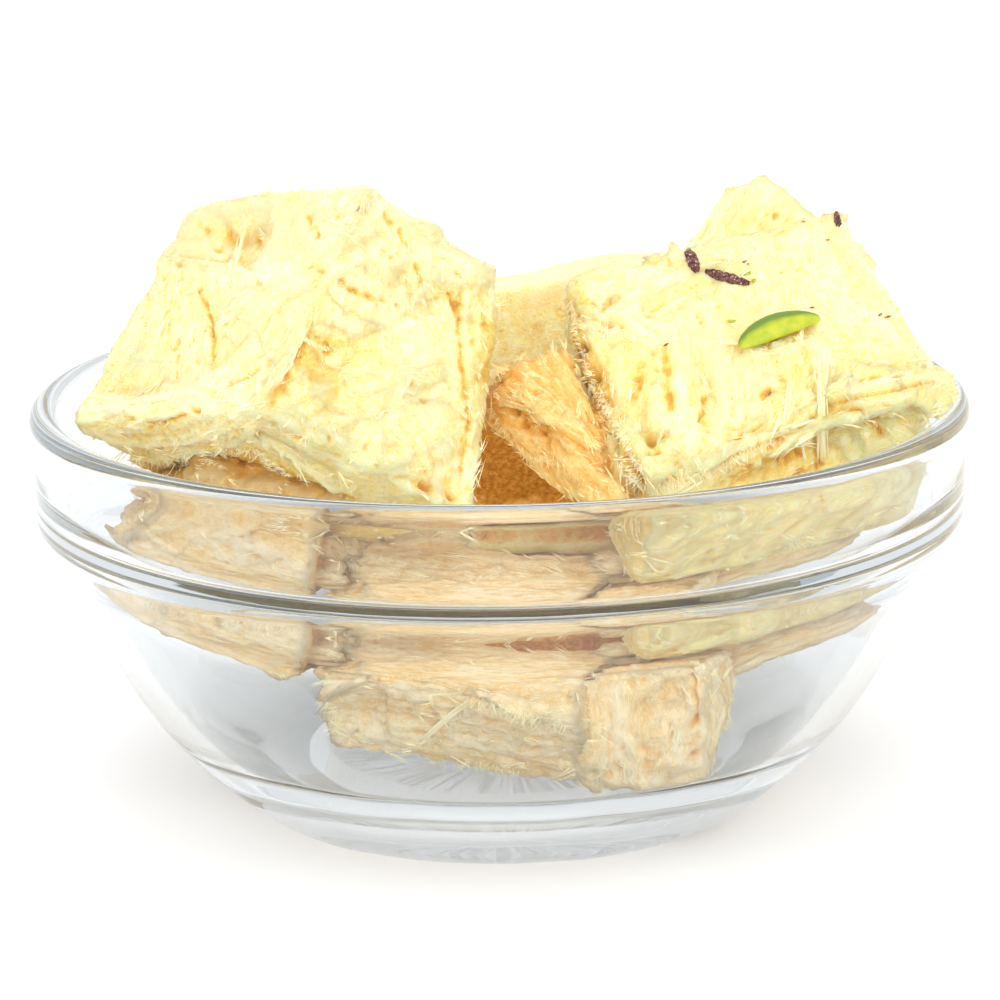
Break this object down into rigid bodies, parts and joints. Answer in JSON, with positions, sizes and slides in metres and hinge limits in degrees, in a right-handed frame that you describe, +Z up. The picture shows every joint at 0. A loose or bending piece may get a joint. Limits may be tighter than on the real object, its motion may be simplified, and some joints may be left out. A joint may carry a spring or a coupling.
{
  "type": "soan papdi in a glass bowl",
  "caption": "Flaky pale-yellow soan papdi pieces heaped in a clear pressed glass stacking bowl, with a pistachio sliver and bits of almond skin on the top piece",
  "frame": {"origin": "centre of the flat foot of the bowl, on the bowl's axis, at the level it stands on", "axes": "+Z up along the bowl's axis; +Y away from the viewer of the picture; +X to the viewer's right"},
  "size_m": [0.1202, 0.1202, 0.0844],
  "materials": {
    "bowl_glass": "clear, smooth",
    "left_top_piece_flake": "flaky, matte",
    "right_top_piece_flake": "flaky, matte",
    "back_middle_piece_flake": "flaky, matte",
    "back_right_piece_flake": "flaky, matte",
    "centre_slab_flake": "flaky, matte",
    "front_bottom_piece_flake": "flaky, matte",
    "left_bottom_piece_flake": "flaky, matte",
    "right_bottom_piece_flake": "flaky, matte",
    "lower_right_piece_flake": "flaky, matte",
    "lower_back_piece_flake": "flaky, matte",
    "pistachio_green": "satin"
  },
  "bodies": {
    "root": {"glass_bowl": "bowl_glass", "left_top_piece": "left_top_piece_flake", "right_top_piece": "right_top_piece_flake", "back_middle_piece": "back_middle_piece_flake", "back_right_piece": "back_right_piece_flake", "centre_slab": "centre_slab_flake", "front_bottom_piece": "front_bottom_piece_flake", "left_bottom_piece": "left_bottom_piece_flake", "right_bottom_piece": "right_bottom_piece_flake", "lower_right_piece": "lower_right_piece_flake", "lower_back_piece": "lower_back_piece_flake", "pistachio_sliver": "pistachio_green"}
  },
  "joints": []
}
